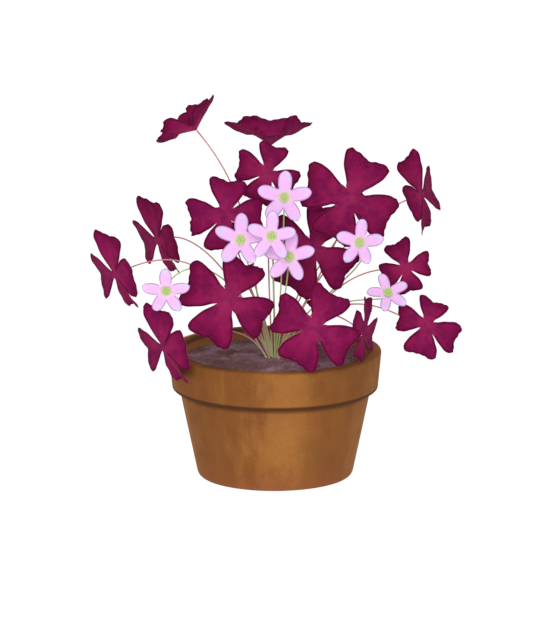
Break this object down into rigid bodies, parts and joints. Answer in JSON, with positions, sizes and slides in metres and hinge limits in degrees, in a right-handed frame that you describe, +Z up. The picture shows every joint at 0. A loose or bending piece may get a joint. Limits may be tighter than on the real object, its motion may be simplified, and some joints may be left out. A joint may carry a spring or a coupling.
{
  "type": "potted purple shamrock",
  "caption": "Purple-leaved shamrock with notched leaflets and small pale pink blooms, growing in soil in a low terracotta pot, as a potted house plant.",
  "frame": {"origin": "middle of the pot's foot, in the plane that the pot stands on, which is also the bottom centre of the whole plant's box to within a few millimetres", "axes": "+Z up along the pot's axis, the side with the most blooms faces -Y, +X is to the right of that view"},
  "size_m": [0.2646, 0.1674, 0.2693],
  "materials": {
    "pot": "matte unglazed terracotta, brownish orange",
    "soil": "damp potting soil, dark greyish brown with a purplish tint",
    "leaf": "living leaf blade, deep reddish purple, soft satin, paler along the midrib and darker at the edge",
    "leaf_stalk": "living stalk, pinkish brown, satin",
    "petal": "living petal, pale pink that turns bluish white at the tip, matte",
    "flower_stalk": "living stalk, cup and eye of a bloom, light yellowish green, satin"
  },
  "bodies": {
    "root": {"pot": "pot", "soil": "soil", "leaf_blade_01": "leaf", "leaf_stalk_01": "leaf_stalk", "leaf_blade_02": "leaf", "leaf_stalk_02": "leaf_stalk", "leaf_blade_03": "leaf", "leaf_stalk_03": "leaf_stalk", "leaf_blade_04": "leaf", "leaf_stalk_04": "leaf_stalk", "leaf_blade_05": "leaf", "leaf_stalk_05": "leaf_stalk", "leaf_blade_06": "leaf", "leaf_stalk_06": "leaf_stalk", "leaf_blade_07": "leaf", "leaf_stalk_07": "leaf_stalk", "leaf_blade_08": "leaf", "leaf_stalk_08": "leaf_stalk", "leaf_blade_09": "leaf", "leaf_stalk_09": "leaf_stalk", "leaf_blade_10": "leaf", "leaf_stalk_10": "leaf_stalk", "leaf_blade_11": "leaf", "leaf_stalk_11": "leaf_stalk", "leaf_blade_12": "leaf", "leaf_stalk_12": "leaf_stalk", "leaf_blade_13": "leaf", "leaf_stalk_13": "leaf_stalk", "leaf_blade_14": "leaf", "leaf_stalk_14": "leaf_stalk", "leaf_blade_15": "leaf", "leaf_stalk_15": "leaf_stalk", "leaf_blade_16": "leaf", "leaf_stalk_16": "leaf_stalk", "leaf_blade_17": "leaf", "leaf_stalk_17": "leaf_stalk", "leaf_blade_18": "leaf", "leaf_stalk_18": "leaf_stalk", "leaf_blade_19": "leaf", "leaf_stalk_19": "leaf_stalk", "flower_petals_1": "petal", "flower_stalk_1": "flower_stalk", "flower_petals_2": "petal", "flower_stalk_2": "flower_stalk", "flower_petals_3": "petal", "flower_stalk_3": "flower_stalk", "flower_petals_4": "petal", "flower_stalk_4": "flower_stalk", "flower_petals_5": "petal", "flower_stalk_5": "flower_stalk", "flower_petals_6": "petal", "flower_stalk_6": "flower_stalk", "flower_petals_7": "petal", "flower_stalk_7": "flower_stalk"}
  },
  "joints": []
}
